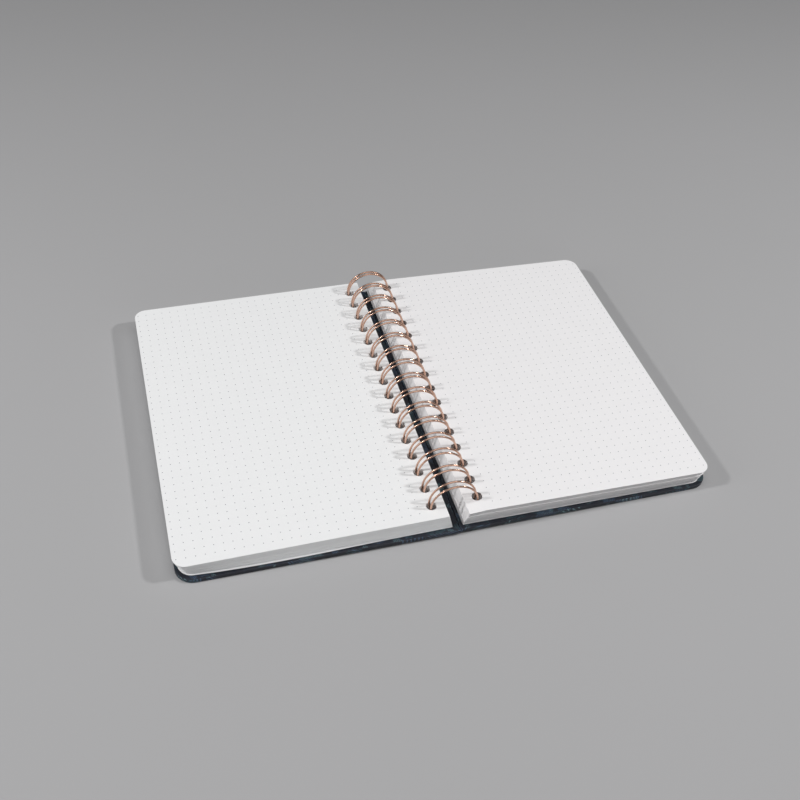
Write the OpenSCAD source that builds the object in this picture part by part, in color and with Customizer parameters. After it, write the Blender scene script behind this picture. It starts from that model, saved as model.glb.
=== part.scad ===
// Twin-loop (double wire) notebook with hard covers, lying open in the middle.
// X runs across the open notebook, Y along the spine, Z up. The origin is on
// the table, halfway between the covers' fore edges and halfway along the spine.
// Everything turns about the wire's axis: x = axis_x, z = ring_z, along Y.

/* [Sheets] */
// Width of a sheet, from its punched edge to its fore edge
sheet_w = 150.8; // [140:0.2:160]
// Height of a sheet
sheet_h = 210.2; // [206:0.2:212]
// Radius of a sheet's two outer corners
sheet_corner_r = 7.2; // [2:0.1:14]
// Diameter of the punched holes
hole_d = 6.4; // [6.4:0.1:6.8]
// Distance from a sheet's punched edge to the hole centres
hole_margin = 7.8; // [7.7:0.1:7.9]

/* [Left stack] */
// Distance from the wire's axis to the top left sheet's punched edge
left_edge = 5.4; // [5.3:0.1:5.6]
// Thickness of the left stack beside the wire
left_t_spine = 9.35; // [8.8:0.05:9.5]
// Thickness of the left stack at its fore edge
left_t_fore = 10.25; // [9.5:0.05:10.5]
// How far the bottom left sheet lies nearer to the spine than the top one
left_lean = 2.3; // [2.1:0.1:2.5]
// Shift of the top left sheet along the spine
left_shift = 0.9; // [-1.8:0.1:1.8]
// How much farther along the spine the bottom left sheet lies than the top one
left_skew = -0.3; // [-1.2:0.1:1.2]

/* [Right stack] */
// Distance from the wire's axis to the top right sheet's punched edge
right_edge = 4.8; // [4.8:0.1:5.1]
// Thickness of the right stack beside the wire, where its sheets fan out
right_t_spine = 11.7; // [11.2:0.05:11.8]
// Thickness of the right stack at its fore edge
right_t_fore = 10.05; // [9.6:0.05:10.1]
// How far the bottom right sheet lies nearer to the spine than the top one
right_lean = 1.7; // [1.5:0.1:1.9]
// Shift of the top right sheet along the spine
right_shift = -1.7; // [-1.8:0.1:1.8]
// How much farther along the spine the bottom right sheet lies than the top one
right_skew = 2.4; // [-2.4:0.1:2.4]
// How far the fanned sheets' punched edges sink below their slope
right_droop = 0.9; // [0.8:0.05:1.2]
// Slope of the right stack's top along the spine, higher at the near end
right_rise = 0.44; // [0:0.01:0.45]

/* [Covers] */
// Width of a cover, from its spine edge to its fore edge
cover_w = 156.5; // [152:0.1:164]
// Height of a cover
cover_h = 214.6; // [214:0.2:220]
// Radius of a cover's two outer corners
cover_corner_r = 11; // [8:0.5:14]
// Thickness of the grey board inside a cover
board_t = 1.9; // [1.8:0.05:1.9]
// Thickness of the printed wrap
wrap_t = 0.25; // [0.2:0.01:0.25]
// Thickness of the lining paper
lining_t = 0.2; // [0.15:0.01:0.2]
// Width of the wrap's turn-in on the inside
turn_in = 15; // [13:0.5:18]
// Width of the turn-in that the lining leaves in view
lining_inset = 4; // [2:0.5:6]
// Gap between the two covers at the spine
cover_gap = 0.3; // [0.3:0.1:1.8]
// Slope of each cover, whose spine edge lies on the wire
cover_tilt = 0.58; // [0.57:0.01:0.6]

/* [Wire] */
// Offset of the wire's axis from the middle between the covers
axis_x = -0.9; // [-1:0.1:0]
// Number of twin loops
loops = 16; // [12:1:16]
// Distance from one twin loop to the next
pitch = 12.7; // [12.6:0.1:12.8]
// Wire diameter
wire_d = 1.1; // [1:0.05:1.1]
// Radius of the loops at the wire's centre line
ring_r = 14.1; // [14.08:0.01:14.12]
// Distance between the two wires of a twin loop
twin_gap = 3.6; // [3.4:0.05:3.6]
// Radius of the bends at the closing seam
bend_r = 1.5; // [1.2:0.1:1.6]

/* [Hidden] */

wire_r = wire_d / 2;
bend_wire_r = wire_r - 0.05;             // the bends start inside the loops' ends
ring_z = ring_r + wire_r;                // the loops stand on the table
spine_x = cover_gap / 2;                 // a cover's spine edge
left_ax = -axis_x - spine_x;             // the wire's axis in each half's frame
right_ax = axis_x - spine_x;
lift = cover_w * sin(cover_tilt);        // height of a cover's spine edge
wrapped_t = 2 * wrap_t + board_t;        // wrap, board and turn-in
cover_t = wrapped_t + lining_t;          // the whole cover
rest_gap = 0.1;                          // between a cover and its stack

slot_x0 = 2.9;                           // the punched slots, from the wire's axis
slot_x1 = 10.35;
slot_w = 5.2;

seam_tip = -79;                          // where a loop's two wires end, in degrees
seam_root = 257;                         // where they start
tip_dip = 7;
root_dip = 13;
bite = 0.3;                              // overlap of a bend and a loop
droop_w = 10;                            // width of the strip that sinks
sections = 8;                            // lengths that the one wire is cut into

function loop_y(k) = (k - (loops - 1) / 2) * pitch;

// ---- the frame that a cover and its stack lie in: x outwards from the
// ---- spine edge, z up from the cover's outer face
module right_half() {
    translate([spine_x, 0, lift]) rotate([0, cover_tilt, 0]) children();
}

module left_half() {
    mirror([1, 0, 0]) right_half() children();
}

// Flat outline with square corners at the spine and round ones outside
module outline(w, h, r) {
    translate([0, -h / 2]) square([w - r, h]);
    translate([0, -h / 2 + r]) square([w, h - 2 * r]);
    for (s = [-1, 1]) translate([w - r, s * (h / 2 - r)]) circle(r = r, $fn = 96);
}

// The same outline, drawn in by d along all its edges, from height z0 to z1
module plate(d, z0, z1) {
    translate([d, 0, z0]) linear_extrude(height = z1 - z0)
        outline(cover_w - 2 * d, cover_h - 2 * d, max(cover_corner_r - d, 0.8));
}

// The row of punched slots that the loops pass through. The axis of the wire
// lies at x = ax in the half's own frame.
module cover_slots(ax) {
    for (k = [0 : loops - 1])
        translate([ax + slot_x0, loop_y(k) - slot_w / 2, -1])
            cube([slot_x1 - slot_x0, slot_w, cover_t + 2]);
}

// Printed paper round the outside and over all four edges
module wrap(ax) {
    difference() {
        plate(0, 0, wrapped_t);
        plate(wrap_t, wrap_t, wrapped_t - wrap_t);
        plate(turn_in, wrapped_t - wrap_t - 0.05, wrapped_t + 1);
        cover_slots(ax);
    }
}

// The stiff board, all of it hidden
module board(ax) {
    difference() {
        plate(wrap_t, wrap_t, wrapped_t - wrap_t);
        cover_slots(ax);
    }
}

// Plain paper pasted over the turn-ins, and down onto the board between them
module lining(ax) {
    difference() {
        union() {
            plate(lining_inset, wrapped_t, cover_t);
            plate(turn_in, wrapped_t - wrap_t, cover_t);
        }
        plate(turn_in + lining_t, wrapped_t - wrap_t + lining_t, cover_t + 1);
        cover_slots(ax);
    }
}

// A stack of sheets that leans towards the spine and along it, with one punched
// hole for each loop. The holes lean with the sheets, but not along the spine.
module stack(ax, edge, t_spine, t_fore, lean, shift, skew, droop = 0, rise = 0) {
    z0 = cover_t + rest_gap;
    x0 = ax + edge;
    slope = (t_fore - t_spine) / sheet_w;
    lean_a = atan(lean / t_spine);
    big = 40;
    difference() {
        // the block is built upright, from its top sheet down, and then leans
        translate([x0, shift, z0 + t_spine])
            multmatrix([[1, 0, lean / t_spine, 0], [0, 1, -skew / t_spine, 0],
                        [0, 0, 1, 0], [0, 0, 0, 1]])
                intersection() {
                    // the sheets' outline, with its round outer corners
                    translate([0, 0, -t_spine]) linear_extrude(height = 2 * t_spine)
                        outline(sheet_w, sheet_h, sheet_corner_r);
                    // all that lies below its sloping top
                    rotate([-rise, 0, 0])
                        translate([0, sheet_h, 0]) rotate([90, 0, 0])
                            linear_extrude(height = 2 * sheet_h)
                                polygon([[-big, -big], [sheet_w + big, -big],
                                         [sheet_w + big, slope * (sheet_w + big)],
                                         [droop_w, slope * droop_w],
                                         [-3, -slope * 3 - droop * (3 + droop_w) / droop_w],
                                         [-big, -slope * 3 - droop * (3 + droop_w) / droop_w]]);
                }
        for (k = [0 : loops - 1])
            translate([x0 + hole_margin, loop_y(k), z0 + t_spine])
                rotate([0, lean_a, 0])
                    cylinder(d = hole_d, h = 2 * big, center = true, $fn = 64);
    }
}

// One bare wire of a loop, a torus from the seam's tip side to its root side
module loop_wire(y) {
    translate([0, y, ring_z]) rotate([90, 0, 0]) rotate([0, 0, seam_tip])
        rotate_extrude(angle = seam_root - seam_tip, $fn = 128)
            translate([ring_r, 0]) circle(r = wire_r, $fn = 24);
}

// The round end that joins a loop's two wires
module loop_tip(y) {
    translate([ring_r * cos(seam_tip) + bite * cos(tip_dip), y,
               ring_z + ring_r * sin(seam_tip) + bite * sin(tip_dip)])
        rotate([0, -tip_dip, 0]) rotate([0, 0, 90])
            rotate_extrude(angle = 180, $fn = 64)
                translate([twin_gap / 2, 0]) circle(r = bend_wire_r, $fn = 24);
}

// A quarter bend from the root of a wire towards the next loop, side 1 or -1
root_x = ring_r * cos(seam_root) - bite * cos(root_dip);
root_z = ring_z + ring_r * sin(seam_root) + bite * sin(root_dip);
module root_bend(y, side) {
    translate([root_x, y + side * bend_r, root_z])
        rotate([0, root_dip, 0]) rotate([0, 0, -side * 90])
            mirror([0, side > 0 ? 0 : 1, 0])
                rotate_extrude(angle = 90, $fn = 64)
                    translate([bend_r, 0]) circle(r = bend_wire_r, $fn = 24);
}

// The straight bar between two loops, under the covers
module root_bar(y0, y1) {
    translate([root_x + bend_r * cos(root_dip), y1, root_z - bend_r * sin(root_dip)])
        rotate([90, 0, 0]) cylinder(r = wire_r, h = y1 - y0, $fn = 24);
}

// ---- the pieces

module front_wrap() { color("#18222d") left_half() wrap(left_ax); }
module front_board() { color("#8d8478") left_half() board(left_ax); }
module front_lining() { color("#10141d") left_half() lining(left_ax); }

module back_wrap() { color("#18222d") right_half() wrap(right_ax); }
module back_board() { color("#8d8478") right_half() board(right_ax); }
module back_lining() { color("#10141d") right_half() lining(right_ax); }

module left_pages() {
    color("#f2f1ee") left_half()
        stack(left_ax, left_edge, left_t_spine, left_t_fore, left_lean, left_shift,
              left_skew);
}

module right_pages() {
    color("#f2f1ee") right_half()
        stack(right_ax, right_edge, right_t_spine, right_t_fore, right_lean, right_shift,
              right_skew, right_droop, right_rise);
}

// One length of the comb of wire: each loop is a hairpin, and bars join the
// hairpins. The wire is one piece; its lengths meet halfway along a bar.
module wire_section(i) {
    first = floor((i - 1) * loops / sections);
    last = floor(i * loops / sections) - 1;
    color("#b9805f") translate([axis_x, 0, 0]) union() {
        for (k = [first : last]) {
            loop_wire(loop_y(k) - twin_gap / 2);
            loop_wire(loop_y(k) + twin_gap / 2);
            loop_tip(loop_y(k));
            if (k > 0) {
                root_bend(loop_y(k) - twin_gap / 2, -1);
                root_bar(loop_y(k) - pitch / 2,
                         loop_y(k) - twin_gap / 2 - bend_r + 0.25);
            }
            if (k < loops - 1) {
                root_bend(loop_y(k) + twin_gap / 2, 1);
                root_bar(loop_y(k) + twin_gap / 2 + bend_r - 0.25,
                         loop_y(k) + pitch / 2);
            }
        }
    }
}

front_wrap();
front_board();
front_lining();
back_wrap();
back_board();
back_lining();
left_pages();
right_pages();
wire_section(1);  // wire_1
wire_section(2);  // wire_2
wire_section(3);  // wire_3
wire_section(4);  // wire_4
wire_section(5);  // wire_5
wire_section(6);  // wire_6
wire_section(7);  // wire_7
wire_section(8);  // wire_8
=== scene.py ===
"""Looks of a twin-loop wire bound notebook that lies open in the middle.

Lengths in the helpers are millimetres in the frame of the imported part, and
every mesh is written out in metres. Each half of the notebook is built in its
own half frame: x outwards from the cover's spine edge, y along the spine and
z up from the cover's outer face. The left half is the mirror of that frame.
"""
import math

import bpy
import numpy as np
from mathutils import Matrix
from mathutils.geometry import delaunay_2d_cdt


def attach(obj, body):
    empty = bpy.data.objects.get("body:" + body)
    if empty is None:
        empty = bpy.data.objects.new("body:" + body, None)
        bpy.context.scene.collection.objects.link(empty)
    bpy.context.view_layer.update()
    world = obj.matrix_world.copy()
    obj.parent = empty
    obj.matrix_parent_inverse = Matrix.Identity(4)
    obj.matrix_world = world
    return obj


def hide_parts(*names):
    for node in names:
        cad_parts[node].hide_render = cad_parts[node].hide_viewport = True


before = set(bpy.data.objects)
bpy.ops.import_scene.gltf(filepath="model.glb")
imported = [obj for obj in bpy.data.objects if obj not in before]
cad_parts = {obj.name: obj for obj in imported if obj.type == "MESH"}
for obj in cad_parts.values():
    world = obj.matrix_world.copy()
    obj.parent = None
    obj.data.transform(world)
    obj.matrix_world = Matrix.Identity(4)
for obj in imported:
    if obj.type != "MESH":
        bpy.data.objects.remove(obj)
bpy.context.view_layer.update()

RNG = np.random.default_rng(20)

# ---------------------------------------------------------------- dimensions
SHEET_W, SHEET_H, SHEET_R = 150.8, 210.2, 7.2
HOLE_R, HOLE_U = 3.03, 7.8
COVER_W, COVER_H = 156.5, 214.6
WRAP_T, WRAPPED_T, COVER_T = 0.25, 2.4, 2.6
TURN_IN, LINING_INSET = 15.0, 4.0
SLOT_X0, SLOT_X1, SLOT_W = 2.9, 10.35, 5.2          # x outwards from the wire's axis
SPINE_X, TILT = 0.15, math.radians(0.58)
AXIS_X = -0.9
AX = {-1: -AXIS_X - SPINE_X, 1: AXIS_X - SPINE_X}   # the axis in each half's frame
LIFT = COVER_W * math.sin(TILT)
REST_GAP = 0.1
LOOPS, PITCH = 16, 12.7
WIRE_R = 0.6
# skew: how far the stack's foot is from its top along the spine; hole_top: the
# top sheet's punched holes' place along the spine, from the wire's loops; path:
# how far out the holes lie from there at 0, 20 ... 100 % of the stack's height,
# so that the wire passes them freely while the half turns;
# corner: the cover's corner radius; worn: how far its near fore corner is worn
# in; near: how much longer its near half is; taper, fan and slant: how far the
# lowest sheets are drawn in at the near fore corner, towards the spine at the
# far end, and at their fore edge
LEFT = dict(side=-1, edge=5.4, t_spine=9.35, t_fore=10.25, lean=2.3, shift=0.9,
            skew=-0.3, droop=0.0, rise=0.0, hole_top=0.62,
            path=(-1.24, -0.15, 0.47, 0.73, 0.70, 0.0),
            corner=9.5, worn=2.3, near=0.45, taper=3.1, fan=0.0, slant=0.0)
RIGHT = dict(side=1, edge=4.8, t_spine=11.7, t_fore=10.05, lean=1.7, shift=-1.7,
             skew=2.65, droop=0.9, rise=0.44, hole_top=-0.65,
             path=(-2.00, -0.10, 1.07, 1.50, 1.15, 0.0),
             corner=10.5, worn=0.0, near=0.0, taper=0.0, fan=1.2, slant=-0.35)
# The printed dots: first dot, step and turn of each half's grid
DOTS_LEFT = dict(x=-155.092, y=-98.497, step=5.1125, turn=0.0, nx=27, ny=40)
DOTS_RIGHT = dict(x=19.161, y=-101.145, step=5.112, turn=-0.12, nx=27, ny=40)


def loop_y(k):
    return (k - (LOOPS - 1) / 2) * PITCH


def to_world(p, side):
    """Points of a half frame, as points of the part's frame."""
    p = np.asarray(p, float)
    c, s = math.cos(TILT), math.sin(TILT)
    x = SPINE_X + p[:, 0] * c + p[:, 2] * s
    z = LIFT - p[:, 0] * s + p[:, 2] * c
    return np.stack([x * side, p[:, 1], z], 1)


# ---------------------------------------------------------------- mesh code
class Mesh:
    """Gathers vertices, faces, each face's material and its paper coordinates."""

    def __init__(self):
        self.v, self.f, self.m, self.uv = [], [], [], []
        self.n = 0

    def add(self, verts, faces, material=0, uv=None):
        verts = np.asarray(verts, float)
        self.v.append(verts)
        self.uv.append(verts[:, :2] if uv is None else np.asarray(uv, float))
        faces = np.asarray(faces, int)
        self.f.append(faces + self.n)
        self.m.append(np.full(len(faces), material))
        self.n += len(verts)

    def build(self, name, materials, body, mirror=False, smooth=None):
        v = np.concatenate(self.v) * 0.001
        uv = np.concatenate(self.uv)
        tris, mats = [], []
        for f, m in zip(self.f, self.m):
            if f.shape[1] == 4:
                f = np.concatenate([f[:, [0, 1, 2]], f[:, [0, 2, 3]]])
                m = np.concatenate([m, m])
            tris.append(f)
            mats.append(m)
        t = np.concatenate(tris)
        m = np.concatenate(mats)
        if mirror:
            t = t[:, ::-1]
        me = bpy.data.meshes.new(name)
        me.vertices.add(len(v))
        me.vertices.foreach_set("co", v.astype(np.float32).ravel())
        me.loops.add(len(t) * 3)
        me.loops.foreach_set("vertex_index", t.astype(np.int32).ravel())
        me.polygons.add(len(t))
        me.polygons.foreach_set("loop_start", np.arange(0, len(t) * 3, 3, dtype=np.int32))
        me.polygons.foreach_set("loop_total", np.full(len(t), 3, np.int32))
        for mat in materials:
            me.materials.append(mat)
        me.polygons.foreach_set("material_index", m.astype(np.int32))
        layer = me.uv_layers.new(name="paper")
        layer.data.foreach_set("uv", (uv[t.ravel()]).astype(np.float32).ravel())
        me.update(calc_edges=True)
        me.validate()
        if smooth is not None:
            me.polygons.foreach_set("use_smooth", np.ones(len(me.polygons), bool))
            me.set_sharp_from_angle(angle=math.radians(smooth))
        obj = bpy.data.objects.new(name, me)
        bpy.context.scene.collection.objects.link(obj)
        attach(obj, body)
        return obj


def outline(w, h, r, inset=0.0, corner=12, edge=0.0):
    """Closed loop, anticlockwise: square corners at x = 0, round ones at x = w.
    Also gives each point's outward normal. edge is the longest straight step."""
    pts, nor = [], []
    rr = max(r - inset, 0.6)
    x0, x1, y1 = inset, w - inset, h / 2 - inset

    def run(a, b, n):
        steps = 1 if edge <= 0 else max(1, int(round(math.dist(a, b) / edge)))
        for i in range(1, steps):
            t = i / steps
            pts.append((a[0] + (b[0] - a[0]) * t, a[1] + (b[1] - a[1]) * t))
            nor.append(n)

    def put(p, n):
        pts.append(p)
        nor.append(n)

    q = math.sqrt(0.5)
    put((x0, -y1), (-q, -q))
    run((x0, -y1), (x1 - rr, -y1), (0, -1))
    for i in range(corner + 1):
        a = -math.pi / 2 + math.pi / 2 * i / corner
        put((x1 - rr + rr * math.cos(a), -y1 + rr + rr * math.sin(a)),
            (math.cos(a), math.sin(a)))
    run((x1, -y1 + rr), (x1, y1 - rr), (1, 0))
    for i in range(corner + 1):
        a = math.pi / 2 * i / corner
        put((x1 - rr + rr * math.cos(a), y1 - rr + rr * math.sin(a)),
            (math.cos(a), math.sin(a)))
    run((x1 - rr, y1), (x0, y1), (0, 1))
    put((x0, y1), (-q, q))
    run((x0, y1), (x0, -y1), (-1, 0))
    return np.array(pts), np.array(nor)


def circle(x, y, r, n):
    a = np.arange(n) * 2 * math.pi / n
    return np.stack([x + r * np.cos(a), y + r * np.sin(a)], 1)


def slot_loop(x0, x1, y, w, r=0.6, n=3):
    pts = []
    for cx, cy, a0 in ((x1 - r, y - w / 2 + r, -90), (x1 - r, y + w / 2 - r, 0),
                       (x0 + r, y + w / 2 - r, 90), (x0 + r, y - w / 2 + r, 180)):
        for i in range(n + 1):
            a = math.radians(a0 + 90 * i / n)
            pts.append((cx + r * math.cos(a), cy + r * math.sin(a)))
    return np.array(pts)


def inside(loop, p):
    """Which of the points p lie inside a closed loop."""
    x, y = p[:, 0], p[:, 1]
    hit = np.zeros(len(p), bool)
    j = len(loop) - 1
    for i in range(len(loop)):
        xi, yi = loop[i]
        xj, yj = loop[j]
        if yi != yj:
            cross = ((yi > y) != (yj > y)) & (x < (xj - xi) * (y - yi) / (yj - yi) + xi)
            hit ^= cross
        j = i
    return hit


def fill(loops, extra=None):
    """Triangles, anticlockwise, inside loops[0] and outside the other loops."""
    pts, edges, n = [], [], 0
    for loop in loops:
        k = len(loop)
        pts.extend(loop)
        edges.extend((n + i, n + (i + 1) % k) for i in range(k))
        n += k
    if extra is not None and len(extra):
        pts.extend(extra)
    pts = np.array(pts, float)
    out = delaunay_2d_cdt([tuple(p) for p in pts], edges, [list(range(len(loops[0])))],
                          1, 1e-7)
    vs = np.array([tuple(v) for v in out[0]])
    back = np.array([o[0] if len(o) else -1 for o in out[3]])
    t = np.array([f for f in out[2] if len(f) == 3])
    c = vs[t].mean(1)
    keep = inside(np.asarray(loops[0]), c)
    for hole in loops[1:]:
        keep &= ~inside(np.asarray(hole), c)
    t = t[keep]
    t = back[t]
    t = t[(t >= 0).all(1)]
    a, b, c = pts[t[:, 0]], pts[t[:, 1]], pts[t[:, 2]]
    area = (b[:, 0] - a[:, 0]) * (c[:, 1] - a[:, 1]) - (b[:, 1] - a[:, 1]) * (c[:, 0] - a[:, 0])
    t[area < 0] = t[area < 0][:, ::-1]
    return pts, t


def ring_faces(n, a, b):
    """Quads between two closed rows of n points that start at a and b."""
    i = np.arange(n)
    j = (i + 1) % n
    return np.stack([a + i, a + j, b + j, b + i], 1)


# ---------------------------------------------------------------- materials
def material(name):
    mat = bpy.data.materials.new(name)
    mat.use_nodes = True
    tree = mat.node_tree
    tree.nodes.clear()
    out = tree.nodes.new("ShaderNodeOutputMaterial")
    bsdf = tree.nodes.new("ShaderNodeBsdfPrincipled")
    tree.links.new(bsdf.outputs[0], out.inputs["Surface"])
    return mat, tree, bsdf


class Net:
    """A short way to wire shader nodes."""

    def __init__(self, tree):
        self.t = tree

    def node(self, kind, **props):
        n = self.t.nodes.new(kind)
        for k, v in props.items():
            setattr(n, k, v)
        return n

    def link(self, a, b):
        self.t.links.new(a, b)

    def put(self, socket, value):
        if hasattr(value, "is_output"):
            self.link(value, socket)
        else:
            socket.default_value = value

    def math(self, op, a, b=0.0, c=None, clamp=False):
        n = self.node("ShaderNodeMath", operation=op, use_clamp=clamp)
        self.put(n.inputs[0], a)
        if len(n.inputs) > 1:
            self.put(n.inputs[1], b)
        if c is not None:
            self.put(n.inputs[2], c)
        return n.outputs[0]

    def vmath(self, op, a, b=None, scale=None):
        n = self.node("ShaderNodeVectorMath", operation=op)
        self.put(n.inputs[0], a)
        if b is not None:
            self.put(n.inputs[1], b)
        if scale is not None:
            self.put(n.inputs["Scale"], scale)
        return n.outputs["Value"] if op in ("LENGTH", "DOT_PRODUCT", "DISTANCE") else n.outputs[0]

    def object(self):
        return self.node("ShaderNodeTexCoord").outputs["Object"]

    def noise(self, vector, scale, detail=3.0, rough=0.5, distort=0.0):
        n = self.node("ShaderNodeTexNoise")
        self.link(vector, n.inputs["Vector"])
        n.inputs["Scale"].default_value = scale
        n.inputs["Detail"].default_value = detail
        n.inputs["Roughness"].default_value = rough
        n.inputs["Distortion"].default_value = distort
        return n.outputs[0]

    def remap(self, value, a, b, c, d, smooth=False):
        n = self.node("ShaderNodeMapRange",
                      interpolation_type="SMOOTHSTEP" if smooth else "LINEAR")
        self.put(n.inputs["Value"], value)
        for key, v in (("From Min", a), ("From Max", b), ("To Min", c), ("To Max", d)):
            n.inputs[key].default_value = v
        return n.outputs["Result"]

    def mix(self, fac, a, b, mode="MIX"):
        n = self.node("ShaderNodeMix", data_type="RGBA", blend_type=mode)
        self.put(n.inputs["Factor"], fac)
        for i, v in ((6, a), (7, b)):
            if hasattr(v, "is_output"):
                self.link(v, n.inputs[i])
            else:
                n.inputs[i].default_value = (*v, 1.0)
        return n.outputs[2]

    def bump(self, height, strength, distance, normal=None):
        n = self.node("ShaderNodeBump")
        n.inputs["Strength"].default_value = strength
        n.inputs["Distance"].default_value = distance
        self.link(height, n.inputs["Height"])
        if normal is not None:
            self.link(normal, n.inputs["Normal"])
        return n.outputs[0]


def paper_material(name, dots, tone):
    """White uncoated paper with a printed grid of pale grey dots."""
    mat, tree, bsdf = material(name)
    n = Net(tree)
    obj = n.object()
    # the grid, in steps of one dot
    shift = n.vmath("SUBTRACT", obj, (dots["x"] * 0.001, dots["y"] * 0.001, 0.0))
    turn = n.node("ShaderNodeVectorRotate", rotation_type="Z_AXIS")
    n.link(shift, turn.inputs["Vector"])
    turn.inputs["Angle"].default_value = -math.radians(dots["turn"])
    cell = n.vmath("SCALE", turn.outputs[0], scale=1000.0 / dots["step"])
    flat = n.vmath("MULTIPLY", cell, (1.0, 1.0, 0.0))
    near = n.vmath("FLOOR", n.vmath("ADD", flat, (0.5, 0.5, 0.0)))
    away = n.vmath("LENGTH", n.vmath("SUBTRACT", flat, near))
    ragged = n.noise(obj, 9000.0, 2.0)
    size = n.remap(ragged, 0.3, 0.7, 0.049, 0.062)
    ink = n.math("LESS_THAN", away, size)
    for axis, count in ((0, dots["nx"]), (1, dots["ny"])):
        parts = n.node("ShaderNodeSeparateXYZ")
        n.link(near, parts.inputs[0])
        ink = n.math("MULTIPLY", ink, n.math("GREATER_THAN", parts.outputs[axis], -0.5))
        ink = n.math("MULTIPLY", ink, n.math("LESS_THAN", parts.outputs[axis], count - 0.5))
    # the print keeps off the sheet's cut edges
    paper = n.node("ShaderNodeSeparateXYZ")
    n.link(n.node("ShaderNodeUVMap", uv_map="paper").outputs[0], paper.inputs[0])
    ink = n.math("MULTIPLY", ink, n.math("GREATER_THAN", paper.outputs[0], 0.5))
    out = n.math("MAXIMUM", n.math("SUBTRACT", paper.outputs[0], SHEET_W - SHEET_R), 0.0)
    off = n.math("MAXIMUM", n.math("SUBTRACT", n.math("ABSOLUTE", paper.outputs[1]),
                                   SHEET_H / 2 - SHEET_R), 0.0)
    away = n.math("ADD", n.math("MULTIPLY", out, out), n.math("MULTIPLY", off, off))
    ink = n.math("MULTIPLY", ink, n.math("LESS_THAN", away, (SHEET_R - 0.4) ** 2))
    # cloudy formation of the sheet, and its fibres
    cloud = n.noise(obj, 90.0, 4.0, 0.6)
    fibre = n.noise(obj, 1700.0, 3.0, 0.7)
    white = n.mix(n.remap(cloud, 0.3, 0.7, 0.0, 1.0), [c * 0.985 for c in tone], tone)
    white = n.mix(n.remap(fibre, 0.35, 0.65, 0.0, 0.35), white, [c * 0.965 for c in tone])
    strength = n.remap(n.noise(obj, 400.0, 2.0), 0.3, 0.7, 0.75, 1.0)
    color = n.mix(n.math("MULTIPLY", ink, strength), white, (0.20, 0.21, 0.235))
    n.link(color, bsdf.inputs["Base Color"])
    n.link(n.remap(fibre, 0.3, 0.7, 0.62, 0.78), bsdf.inputs["Roughness"])
    bsdf.inputs["Specular IOR Level"].default_value = 0.25
    n.link(n.bump(n.noise(obj, 2600.0, 4.0, 0.65), 0.25, 0.00004), bsdf.inputs["Normal"])
    return mat


def wrap_material(name, seed):
    """Dark navy paper printed with patches of fine teal and blue hatching."""
    mat, tree, bsdf = material(name)
    n = Net(tree)
    obj = n.object()
    uv = n.node("ShaderNodeUVMap", uv_map="paper").outputs[0]
    base = n.vmath("ADD", uv, (seed * 37.0, seed * 11.0, 0.0))
    ink = None
    color = (0.0105, 0.0125, 0.021)
    last = None
    for layer, (scale, spacing, share, tint) in enumerate((
            (0.085, 1.70, 0.22, (0.058, 0.155, 0.178)),
            (0.060, 1.60, 0.20, (0.098, 0.165, 0.270)),
            (0.110, 1.70, 0.14, (0.185, 0.310, 0.340)))):
        spot = n.vmath("ADD", base, (layer * 53.1, layer * 29.7, 0.0))
        bent = n.vmath("ADD", spot, n.vmath("SCALE", n.vmath("SUBTRACT",
                       n.node_noise_color(spot, 0.05), (0.5, 0.5, 0.5)), scale=7.0))
        cells = n.node("ShaderNodeTexVoronoi", voronoi_dimensions="2D", feature="F1")
        n.link(bent, cells.inputs["Vector"])
        cells.inputs["Scale"].default_value = scale
        edge = n.node("ShaderNodeTexVoronoi", voronoi_dimensions="2D",
                      feature="DISTANCE_TO_EDGE")
        n.link(bent, edge.inputs["Vector"])
        edge.inputs["Scale"].default_value = scale
        parts = n.node("ShaderNodeSeparateColor")
        n.link(cells.outputs["Color"], parts.inputs[0])
        turn = n.node("ShaderNodeVectorRotate", rotation_type="Z_AXIS")
        n.link(bent, turn.inputs["Vector"])
        n.link(n.math("MULTIPLY", parts.outputs[0], math.pi), turn.inputs["Angle"])
        line = n.node("ShaderNodeSeparateXYZ")
        n.link(turn.outputs[0], line.inputs[0])
        saw = n.math("PINGPONG", line.outputs[0], spacing / 2)
        stroke = n.math("LESS_THAN", saw, 0.22 + 0.03 * layer)
        room = n.math("GREATER_THAN", edge.outputs["Distance"], 0.055)
        used = n.math("LESS_THAN", parts.outputs[1], share)
        mask = n.math("MULTIPLY", n.math("MULTIPLY", stroke, room), used)
        fade = n.remap(n.noise(spot, 0.4, 3.0), 0.35, 0.65, 0.35, 1.0)
        mask = n.math("MULTIPLY", mask, fade)
        last = n.mix(mask, color if last is None else last, tint)
        ink = mask if ink is None else n.math("MAXIMUM", ink, mask)
    mottled = n.mix(n.remap(n.noise(obj, 260.0, 4.0), 0.35, 0.65, 0.0, 0.28), last,
                    (0.028, 0.034, 0.045))
    # a faint lighter navy mottle over the whole wrap, from noise
    n.link(mottled, bsdf.inputs["Base Color"])
    n.link(n.remap(n.noise(obj, 900.0, 3.0), 0.3, 0.7, 0.42, 0.58), bsdf.inputs["Roughness"])
    bsdf.inputs["Specular IOR Level"].default_value = 0.4
    n.link(n.bump(n.noise(obj, 1500.0, 4.0, 0.6), 0.35, 0.00006), bsdf.inputs["Normal"])
    return mat


def noise_color(self, vector, scale):
    n = self.node("ShaderNodeTexNoise")
    self.link(vector, n.inputs["Vector"])
    n.inputs["Scale"].default_value = scale
    n.inputs["Detail"].default_value = 2.0
    return n.outputs["Color"]


Net.node_noise_color = noise_color


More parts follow.
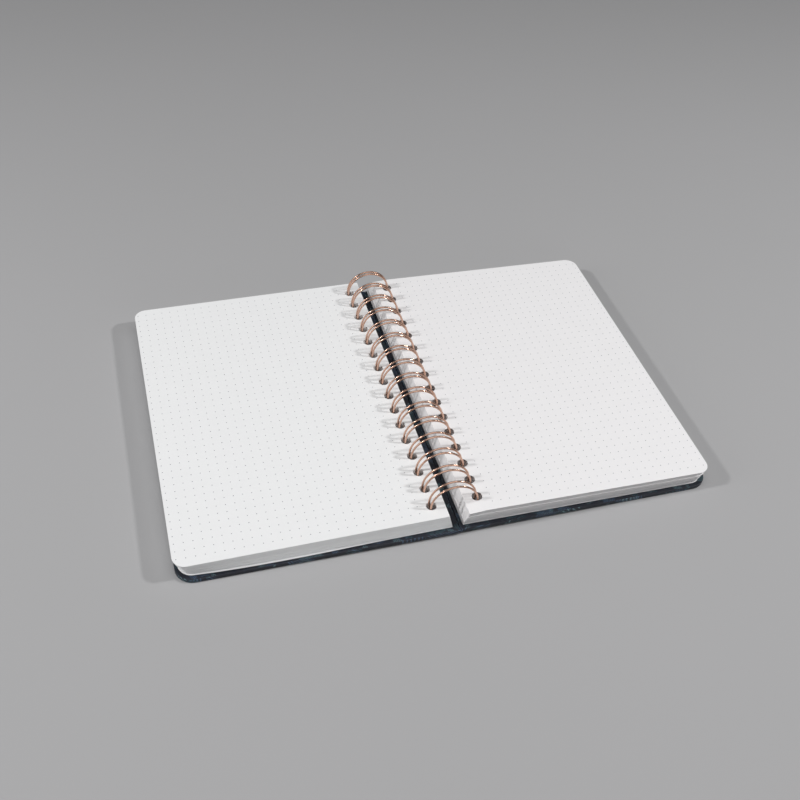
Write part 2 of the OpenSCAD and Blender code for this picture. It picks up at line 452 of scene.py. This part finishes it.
def lining_material():
    """Plain dark navy paper with a faint laid grain."""
    mat, tree, bsdf = material("lining_paper")
    n = Net(tree)
    obj = n.object()
    grain = n.noise(n.vmath("MULTIPLY", obj, (1.0, 6.0, 1.0)), 700.0, 4.0, 0.6)
    cloud = n.noise(obj, 120.0, 3.0)
    color = n.mix(n.remap(grain, 0.3, 0.7, 0.0, 0.6), (0.0095, 0.0115, 0.020),
                  (0.019, 0.023, 0.037))
    color = n.mix(n.remap(cloud, 0.35, 0.65, 0.0, 0.3), color, (0.024, 0.027, 0.038))
    n.link(color, bsdf.inputs["Base Color"])
    n.link(n.remap(grain, 0.3, 0.7, 0.5, 0.66), bsdf.inputs["Roughness"])
    bsdf.inputs["Specular IOR Level"].default_value = 0.35
    n.link(n.bump(grain, 0.3, 0.00005), bsdf.inputs["Normal"])
    return mat


def board_material():
    """Raw grey board: layered, with pale and dark flecks."""
    mat, tree, bsdf = material("grey_board")
    n = Net(tree)
    obj = n.object()
    layers = n.noise(n.vmath("MULTIPLY", obj, (1.0, 1.0, 14.0)), 500.0, 4.0, 0.6)
    fleck = n.noise(obj, 2200.0, 2.0)
    color = n.mix(n.remap(layers, 0.3, 0.7, 0.0, 1.0), (0.20, 0.18, 0.155),
                  (0.33, 0.30, 0.265))
    color = n.mix(n.remap(fleck, 0.6, 0.72, 0.0, 0.7), color, (0.08, 0.075, 0.07))
    n.link(color, bsdf.inputs["Base Color"])
    n.link(n.remap(fleck, 0.3, 0.7, 0.8, 0.95), bsdf.inputs["Roughness"])
    bsdf.inputs["Specular IOR Level"].default_value = 0.2
    n.link(n.bump(layers, 0.5, 0.0001), bsdf.inputs["Normal"])
    return mat


def wire_material():
    """Copper-coloured coated steel wire, glossy, with faint drawing marks."""
    mat, tree, bsdf = material("copper_wire")
    n = Net(tree)
    obj = n.object()
    tone = n.noise(obj, 160.0, 3.0)
    fine = n.noise(obj, 2500.0, 3.0, 0.7)
    color = n.mix(n.remap(tone, 0.35, 0.65, 0.0, 1.0), (0.60, 0.375, 0.280),
                  (0.68, 0.445, 0.345))
    n.link(color, bsdf.inputs["Base Color"])
    bsdf.inputs["Metallic"].default_value = 1.0
    n.link(n.remap(fine, 0.3, 0.7, 0.20, 0.30), bsdf.inputs["Roughness"])
    n.link(n.bump(fine, 0.15, 0.00003), bsdf.inputs["Normal"])
    return mat


def floor_material():
    mat, tree, bsdf = material("studio_floor")
    n = Net(tree)
    obj = n.object()
    color = n.mix(n.remap(n.noise(obj, 3.0, 3.0), 0.35, 0.65, 0.0, 1.0),
                  (0.418, 0.416, 0.421), (0.424, 0.421, 0.427))
    n.link(color, bsdf.inputs["Base Color"])
    bsdf.inputs["Roughness"].default_value = 0.9
    bsdf.inputs["Specular IOR Level"].default_value = 0.1
    n.link(n.bump(n.noise(obj, 1200.0, 3.0), 0.05, 0.0001), bsdf.inputs["Normal"])
    return mat


PAPER_L = paper_material("dot_paper_left", DOTS_LEFT, (0.893, 0.896, 0.900))
PAPER_R = paper_material("dot_paper_right", DOTS_RIGHT, (0.903, 0.892, 0.899))
LINING = lining_material()
BOARD = board_material()
WIRE = wire_material()


# ---------------------------------------------------------------- sheets
def page_template(h, dense, wider=0.0):
    """A sheet's outline, holes and inner points in page coordinates, with its
    triangles: u from the punched edge, v along the spine."""
    rim, _ = outline(SHEET_W, SHEET_H, SHEET_R, corner=14 if dense else 9,
                     edge=5.0 if dense else 12.0)
    holes = [circle(HOLE_U, loop_y(k) + h["hole_top"] - h["shift"],
                    HOLE_R + wider, 32 if dense else 16)
             for k in range(LOOPS)]
    if dense:
        us = [1.9, 14.0] + list(np.arange(20.0, 148.0, 6.0))
        vs = np.arange(-100.0, 101.0, 6.25)
    else:
        us, vs = [14.0, 22.0, 50.0, 90.0, 130.0], np.arange(-96.0, 97.0, 32.0)
    extra = [(u, v) for u in us for v in vs]
    extra = np.array(extra)
    keep = inside(np.array(rim), extra)
    # nothing too near the rim's round corners
    keep &= ~((extra[:, 0] > SHEET_W - 6) & (np.abs(extra[:, 1]) > SHEET_H / 2 - 6))
    extra = extra[keep]
    loops = [np.array(rim)] + holes
    pts, tri = fill(loops, extra)
    return pts, tri, loops


def thickness(h, u, v):
    """Height of the stack's top above its flat bottom."""
    slope = (h["t_fore"] - h["t_spine"]) / SHEET_W
    t = h["t_spine"] + slope * u - np.tan(math.radians(h["rise"])) * (v + h["shift"])
    return t - h["droop"] * np.clip((10.0 - u) / 10.0, 0.0, None)


def add_sheet(mesh, h, template, t0, t1, du, dv, turn, wave=None, out=0.0):
    pts, tri, loops = template
    c, s = math.cos(turn), math.sin(turn)
    u = pts[:, 0] * c - pts[:, 1] * s + du
    v = pts[:, 0] * s + pts[:, 1] * c + dv
    full = thickness(h, pts[:, 0], pts[:, 1])
    z0 = COVER_T + REST_GAP
    # the holes lean less along the spine than the stack does
    near_holes = (np.interp(pts[:, 0], [0.0, 4.4, 11.2, 22.0], [0.0, 1.0, 1.0, 0.0])
                  * np.interp(np.abs(pts[:, 1]), [99.8, SHEET_H / 2], [1.0, 0.0]))
    near = np.clip(-pts[:, 1] / 60.0, 0.0, 1.0)
    bulge = -out * near * np.clip((pts[:, 0] - 40.0) / 45.0, 0.0, 1.0)
    rows = []
    for t in (t0, t1):
        up = full * t
        if wave is not None:
            up = up + wave(pts[:, 0], pts[:, 1])
        fore, far = pts[:, 0] / SHEET_W, pts[:, 1] / SHEET_H + 0.5
        path = np.interp(t, np.linspace(0.0, 1.0, 6), h["path"])
        aside = h["hole_top"] * (1.0 - np.interp(t, [0.85, 1.0], [0.0, 1.0]))
        x = (AX[h["side"]] + h["edge"] + u + path * near_holes
             - (h["lean"] + h["fan"] * far * (1 - near_holes)) * (1 - t))
        y = v + h["shift"] + (h["skew"] * (1 - near_holes) + h["slant"] * fore
                              + h["taper"] * fore ** 6 * near) * (1 - t)
        y += bulge - aside * near_holes
        rows.append(np.stack([x, y, z0 + up], 1))
    n = len(pts)
    faces = [tri[:, ::-1], tri + n]
    mesh_v = to_world(np.concatenate(rows), h["side"])
    uv = np.concatenate([pts, pts])
    mesh.add(mesh_v, np.concatenate(faces), 0, uv)
    base = mesh.n - 2 * n
    start = 0
    for i, loop in enumerate(loops):
        k = len(loop)
        q = ring_faces(k, start, start + n)
        if i:
            q = q[:, ::-1]
        mesh.f.append(q + base)
        mesh.m.append(np.zeros(len(q), int))
        start += k


def stack_of_sheets(name, h, body, node, count, groups, spread, mat):
    """The loose sheets of one half. They lie in a few close bundles, each a
    little out of line with the next, as a book block falls open."""
    # the holes of the lower sheets are wider, for the wire's path as they turn
    lower, upper = page_template(h, False, 0.6), page_template(h, False, 0.15)
    mesh = Mesh()
    # heights: even sheets, with a thin gap of air above each bundle
    gap = np.zeros(count)
    gap[:] = 0.07
    ends = np.cumsum(groups)
    ends = ends[ends < count - 1]
    gap[ends] = spread["air"]
    unit = 1.0 / (count + gap.sum())
    z = 0.0
    bundle_u = bundle_v = bundle_turn = 0.0
    for i in range(count):
        f = i / (count - 1)
        if i in ends or i == 0:
            bundle_u = RNG.normal(0, spread["bundle_u"])
            bundle_v = RNG.normal(0, spread["bundle_v"])
            bundle_turn = RNG.normal(0, spread["turn"])
        du = bundle_u + RNG.normal(0, spread["u"])
        dv = bundle_v + RNG.normal(0, spread["v"])
        if i >= count - 1:
            du = dv = bundle_turn = 0.0
        # the outer sheets stand out a little at the tail
        hollow = spread["hollow"] * 4 * f * (1 - f)
        dv += hollow
        du, dv = float(np.clip(du, -0.35, 0.35)), float(np.clip(dv, -0.45, 0.6))
        # the lowest sheets stand out
        rank, out_v, ramp, out = spread["foot"]
        if i < rank:
            dv -= out_v * (1.0 - ramp * i / rank)
        else:
            out = 0.0
        t0 = z
        t1 = z + unit
        z = t1 + unit * gap[i]
        if i == count - 1:
            continue
        template = lower if f < 0.88 else upper
        add_sheet(mesh, h, template, t0, t1, du, dv, bundle_turn, out=out)
    obj = mesh.build(name, [mat], body, mirror=h["side"] < 0, smooth=30)
    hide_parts(node)
    top = Mesh()
    ph = RNG.uniform(0, 6.28, 4)

    def wave(u, v):
        w = (np.sin(u / 31.0 + ph[0]) * np.sin(v / 43.0 + ph[1])
             + 0.5 * np.sin(u / 17.0 + ph[2]) * np.sin(v / 23.0 + ph[3]))
        return 0.05 + 0.035 * w

    add_sheet(top, h, page_template(h, True), 1.0 - unit, 1.0, 0.0, 0.0, 0.0, wave)
    top.build(name.replace("sheets", "top_sheet"), [mat], body,
              mirror=h["side"] < 0, smooth=30)


stack_of_sheets("left_sheets", LEFT, "left_leaf", "left_pages", 84,
                [4, 16, 21, 14, 18],
                dict(air=0.35, bundle_u=0.02, bundle_v=0.03, u=0.012, v=0.02,
                     turn=0.0001, hollow=0.1, foot=(3, 0.3, 0.0, 0.55)), PAPER_L)
stack_of_sheets("right_sheets", RIGHT, "right_leaf", "right_pages", 84,
                [12, 12, 12, 12, 12, 12],
                dict(air=3.0, bundle_u=0.05, bundle_v=0.11, u=0.015, v=0.02,
                     turn=0.0001, hollow=0.05, foot=(8, 0.45, 1.0, 0.0)), PAPER_R)


# ---------------------------------------------------------------- covers
def cover_place(p, half):
    """Points of a cover in the part's frame, with its near fore corner worn."""
    p = np.array(p, float)
    p[:, 1] += ((half["worn"] * np.clip(p[:, 0] / COVER_W, 0.0, 1.0) ** 4.5
                 - half["near"]) * np.clip(-p[:, 1] / 60.0 - 0.6, 0.0, 1.0))
    return to_world(p, half["side"])


def board_plate(name, half, body, node, mat):
    """The stiff board inside a wrap: a plate with the same slots."""
    side = half["side"]
    slots = [slot_loop(AX[side] + SLOT_X0, AX[side] + SLOT_X1, loop_y(k), SLOT_W)
             for k in range(LOOPS)]
    rim, _ = outline(COVER_W, COVER_H, half["corner"], inset=WRAP_T + 0.01, corner=16)
    z0, z1 = WRAP_T + 0.01, WRAPPED_T - WRAP_T - 0.01
    pts, tri = fill([rim] + slots)
    n = len(pts)
    mesh = Mesh()
    rows = np.concatenate([np.column_stack([pts, np.full(n, z0)]),
                           np.column_stack([pts, np.full(n, z1)])])
    walls, start = [], 0
    for i, loop in enumerate([rim] + slots):
        k = len(loop)
        q = ring_faces(k, start, start + n)
        walls.append(q[:, ::-1] if i else q)
        start += k
    mesh.add(cover_place(rows, half), np.concatenate([tri[:, ::-1], tri + n]), 0, rows[:, :2])
    mesh.f.append(np.concatenate(walls))
    mesh.m.append(np.zeros(sum(len(w) for w in walls), int))
    obj = mesh.build(name, [mat], body, mirror=side < 0, smooth=40)
    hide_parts(node)


def wrap_skin(name, half, body, node, mat):
    """The printed paper of one cover: a closed shell with round folds at its
    edges, turned in over the board on all four sides."""
    side = half["side"]
    mesh = Mesh()
    r = 0.35
    slots = [slot_loop(AX[side] + SLOT_X0, AX[side] + SLOT_X1, loop_y(k), SLOT_W)
             for k in range(LOOPS)]
    k = len(slots[0])

    def level(inset, z, s, edge=12.0):
        p, nor = outline(COVER_W, COVER_H, half["corner"], inset=inset, corner=16, edge=0.0)
        q, nq = outline(COVER_W, COVER_H, half["corner"], inset=0.0, corner=16, edge=0.0)
        uv = q + nq * s
        return np.column_stack([p, np.full(len(p), z)]), uv

    # outer profile: from the outer face round the edge to the turn-in
    profile = []
    for i in range(6):
        a = math.pi / 2 * i / 5
        profile.append((r - r * math.sin(a), r - r * math.cos(a)))
    for i in range(6):
        a = math.pi / 2 * i / 5
        profile.append((r - r * math.cos(a), WRAPPED_T - r + r * math.sin(a)))
    s, rows, uvs = -r, [], []
    for i, (d, z) in enumerate(profile):
        if i:
            s += math.dist(profile[i - 1], (d, z))
        p, uv = level(d, z, s)
        rows.append(p)
        uvs.append(uv)
    n = len(rows[0])
    verts = np.concatenate(rows)
    faces = np.concatenate([ring_faces(n, i * n, (i + 1) * n) for i in range(len(rows) - 1)])
    mesh.add(cover_place(verts, half), faces, 0, np.concatenate(uvs))
    # outer face with its slots
    rim = rows[0][:, :2]
    pts, tri = fill([rim] + slots)
    mesh.add(cover_place(np.column_stack([pts, np.zeros(len(pts))]), half), tri[:, ::-1], 0, pts)
    # turn-in: its top and underside, with the slots
    inner, _ = outline(COVER_W, COVER_H, half["corner"], inset=TURN_IN, corner=8, edge=0.0)
    rim_top = rows[-1][:, :2]
    ptop, ttop = fill([rim_top] + slots + [inner])
    across = 2 * WRAPPED_T
    centre = np.array([COVER_W / 2, 0.0])
    mesh.add(cover_place(np.column_stack([ptop, np.full(len(ptop), WRAPPED_T)]), half), ttop, 0,
             2 * np.clip(ptop, [0, -COVER_H / 2], [COVER_W, COVER_H / 2]) * [-1, 1] + [across, 0])
    # inside of the shell, which holds the board
    wall, _ = outline(COVER_W, COVER_H, half["corner"], inset=WRAP_T, corner=16, edge=0.0)
    pin, tin = fill([wall] + slots)
    mesh.add(cover_place(np.column_stack([pin, np.full(len(pin), WRAP_T)]), half), tin, 0, pin)
    zt = WRAPPED_T - WRAP_T
    pu, tu = fill([wall] + slots + [inner])
    mesh.add(cover_place(np.column_stack([pu, np.full(len(pu), zt)]), half), tu[:, ::-1], 0, pu)
    m = len(wall)
    ring = np.concatenate([np.column_stack([wall, np.full(m, WRAP_T)]),
                           np.column_stack([wall, np.full(m, zt)])])
    mesh.add(cover_place(ring, half), ring_faces(m, 0, m)[:, ::-1], 0, ring[:, :2])
    m = len(inner)
    ring = np.concatenate([np.column_stack([inner, np.full(m, zt)]),
                           np.column_stack([inner, np.full(m, WRAPPED_T)])])
    mesh.add(cover_place(ring, half), ring_faces(m, 0, m)[:, ::-1], 0, ring[:, :2])
    # cut edges of the slots in the paper
    for loop in slots:
        for za, zb in ((0.0, WRAP_T), (zt, WRAPPED_T)):
            ring = np.concatenate([np.column_stack([loop, np.full(k, za)]),
                                   np.column_stack([loop, np.full(k, zb)])])
            mesh.add(cover_place(ring, half), ring_faces(k, 0, k)[:, ::-1], 0, ring[:, :2])
    obj = mesh.build(name, [mat], body, mirror=side < 0, smooth=40)
    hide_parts(node)
    return obj


wrap_skin("front_cover_wrap", LEFT, "front_cover", "front_wrap", wrap_material("wrap_front", 1.0))
wrap_skin("back_cover_wrap", RIGHT, "base", "back_wrap", wrap_material("wrap_back", 2.0))
board_plate("front_cover_board", LEFT, "front_cover", "front_board", BOARD)
board_plate("back_cover_board", RIGHT, "base", "back_board", BOARD)

for node, mat in (("front_lining", LINING), ("back_lining", LINING)):
    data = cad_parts[node].data
    data.materials.clear()
    data.materials.append(mat)


# ---------------------------------------------------------------- wire
def wire_path():
    """The one wire of the comb, as a line of points: up one side of each
    hairpin, round its tip, down the other, and along a bar to the next."""
    zc, half = 15.0, 13.6
    tip, root = math.radians(-79), math.radians(257)
    line = []
    for k in range(LOOPS):
        f = k / (LOOPS - 1)                      # 0 at the near end
        y0 = loop_y(k) + float(np.clip(RNG.normal(0, 0.10), -0.12, 0.12))
        top = 14.3 + 0.1 * f + RNG.normal(0, 0.10)
        wide = half + RNG.normal(0, 0.06)
        xc = -0.8 + RNG.normal(0, 0.06)
        skew = 0.4 + RNG.normal(0, 0.05)
        lean = RNG.normal(0, 0.10)
        apart = 3.75 - 1.35 * f + RNG.normal(0, 0.06)
        close = min(apart, 3.0)                  # in the covers' slots

        def at(a, y):
            high = top if math.sin(a) > 0 else zc - 0.78
            # under the pages the loop is as wide as the covers' slots need
            low = min(max((-0.15 - math.sin(a)) / 0.4, 0.0), 1.0)
            low = low * low * (3 - 2 * low)
            x = AXIS_X + xc * (1 - low) + (wide + (14.1 - wide) * low) * math.cos(a)
            z = ((zc + high * math.sin(a)) * (1 - low) + (14.65 + 14.04 * math.sin(a)) * low)
            y = y * (1 - low * (1 - close / apart))
            aside = (lean * math.sin(a) - skew * math.cos(a)) * (1 - 0.7 * low)
            return np.array([x, y0 + y + aside, z])

        turns = np.linspace(root, tip, 85)
        first = [at(a, -apart / 2) for a in turns]
        ahead = at(tip, 0) - at(tip + 0.02, 0)
        ahead *= np.array([1.0, 1.0, 0.75]) / np.linalg.norm(ahead)
        side = np.array([0.0, 1.0, 0.0])
        mid = at(tip, 0)
        bend = [mid + side * (-math.cos(b) * close / 2) + ahead * (math.sin(b) * close / 2)
                for b in np.linspace(0, math.pi, 13)[1:-1]]
        second = [at(a, apart / 2) for a in turns[::-1]]
        piece = first + bend + second
        if line:
            # a bar under the covers joins this hairpin to the last one
            a, b = line[-1], piece[0]
            da, db = a - line[-2], b - piece[1]
            da, db = da / np.linalg.norm(da), db / np.linalg.norm(db)
            r = 1.3
            bar = []
            for c in np.linspace(0, math.pi / 2, 8)[1:]:
                bar.append(a + da * (r * math.sin(c)) + side * (r * (1 - math.cos(c))))
            for c in np.linspace(math.pi / 2, 0, 8)[:-1]:
                bar.append(b + db * (r * math.sin(c)) - side * (r * (1 - math.cos(c))))
            line += bar
        line += piece
    return np.array(line)


def sweep(path, radius, n):
    """A round tube with flat ends along a line of points."""
    d = np.gradient(path, axis=0)
    d /= np.linalg.norm(d, axis=1)[:, None]
    up = np.cross(d[0], [0.0, 1.0, 0.0])
    up /= np.linalg.norm(up)
    a = np.arange(n) * 2 * math.pi / n
    rows = []
    for i, p in enumerate(path):
        up = up - d[i] * (up @ d[i])
        up /= np.linalg.norm(up)
        across = np.cross(d[i], up)
        rows.append(p + radius * (np.cos(a)[:, None] * up + np.sin(a)[:, None] * across))
    v = np.concatenate(rows + [path[:1], path[-1:]])
    f = [ring_faces(n, i * n, (i + 1) * n) for i in range(len(path) - 1)]
    i = np.arange(n)
    j = (i + 1) % n
    m = len(path) * n
    caps = [np.stack([i, np.full(n, m), j], 1),
            np.stack([j + m - n, np.full(n, m + 1), i + m - n], 1)]
    return v, np.concatenate(f), np.concatenate(caps)


v, quads, caps = sweep(wire_path(), WIRE_R, 14)
comb = Mesh()
comb.add(v, quads)
comb.f.append(caps)
comb.m.append(np.zeros(len(caps), int))
comb_obj = comb.build("wire_comb", [WIRE], "base", smooth=60)
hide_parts(*sorted(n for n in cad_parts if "wire" in n))


# ---------------------------------------------------------------- the studio
def floor():
    me = bpy.data.meshes.new("studio_floor")
    n, reach = 24, 6.0
    xs = np.linspace(-reach, reach, n + 1)
    v = [(x, y, 0.0) for y in xs for x in xs]
    f = [(j * (n + 1) + i, j * (n + 1) + i + 1, (j + 1) * (n + 1) + i + 1, (j + 1) * (n + 1) + i)
         for j in range(n) for i in range(n)]
    me.from_pydata(v, [], f)
    me.materials.append(floor_material())
    obj = bpy.data.objects.new("studio_floor", me)
    bpy.context.scene.collection.objects.link(obj)
    return obj


floor()


def lamp(name, kind, place, aim, energy, size, color=(1, 1, 1), shape="DISK", size_y=None):
    data = bpy.data.lights.new(name, kind)
    data.energy = energy
    data.color = color
    if kind == "AREA":
        data.shape = shape
        data.size = size
        if size_y is not None:
            data.size_y = size_y
    obj = bpy.data.objects.new(name, data)
    bpy.context.scene.collection.objects.link(obj)
    p, a = np.array(place, float), np.array(aim, float)
    z = (p - a) / np.linalg.norm(p - a)
    x = np.cross([0, 1, 0.001], z)
    x /= np.linalg.norm(x)
    y = np.cross(z, x)
    m = Matrix(((x[0], y[0], z[0], p[0]), (x[1], y[1], z[1], p[1]),
                (x[2], y[2], z[2], p[2]), (0, 0, 0, 1)))
    obj.matrix_world = m
    return obj


# two lamps low at the sides, a wide soft light above, soft fills from the left
# and the front, and a pale surround
lamp("lamp_left", "AREA", (-1.10, 0.02, 0.92), (0.0, 0.0, 0.0), 6.8, 0.11)
lamp("lamp_right", "AREA", (1.02, -0.30, 0.95), (0.0, 0.0, 0.0), 7.7, 0.11)
lamp("overhead", "AREA", (0.0, -0.3, 1.3), (0.0, 0.0, 0.0), 6.2, 1.2, shape="RECTANGLE",
     size_y=0.96)
lamp("fill_left", "AREA", (-1.5, -0.1, 0.36), (0.0, 0.0, 0.0), 5.0, 1.0, shape="RECTANGLE",
     size_y=0.5)
lamp("fill_front", "AREA", (0.1, -1.4, 0.30), (0.0, 0.0, 0.0), 2.2, 1.0, shape="RECTANGLE",
     size_y=0.4)

world = bpy.data.worlds.new("surround")
world.use_nodes = True
bg = world.node_tree.nodes["Background"]
bg.inputs["Color"].default_value = (0.98, 0.99, 1.0, 1.0)
bg.inputs["Strength"].default_value = 0.093
bpy.context.scene.world = world

cam = bpy.data.cameras.new("camera")
cam.sensor_width = 36.0
cam.lens = 45.355
cam.clip_start, cam.clip_end = 0.01, 50.0
cam_obj = bpy.data.objects.new("camera", cam)
bpy.context.scene.collection.objects.link(cam_obj)
RIGHTWARD = (0.96002081, -0.27298657, 0.0619547)
UPWARD = (0.15112358, 0.691725, 0.70617196)
FORWARD = (0.23563101, 0.6685768, -0.70532481)
EYE = (-0.15389, -0.42407, 0.44902)
# a turn of about half a pixel
AIM = (np.array(FORWARD) - np.array(RIGHTWARD) * (0.52 / 1007.9)
       + np.array(UPWARD) * (0.6 / 1007.9))
AIM /= np.linalg.norm(AIM)
ACROSS = np.cross(AIM, UPWARD)
ACROSS /= np.linalg.norm(ACROSS)
ABOVE = np.cross(ACROSS, AIM)
cam_obj.matrix_world = Matrix([(ACROSS[i], ABOVE[i], -AIM[i], EYE[i]) for i in range(3)]
                              + [(0, 0, 0, 1)])
bpy.context.scene.camera = cam_obj

bpy.context.scene.view_settings.view_transform = "Standard"
bpy.context.scene.view_settings.look = "None"

bpy.context.view_layer.update()
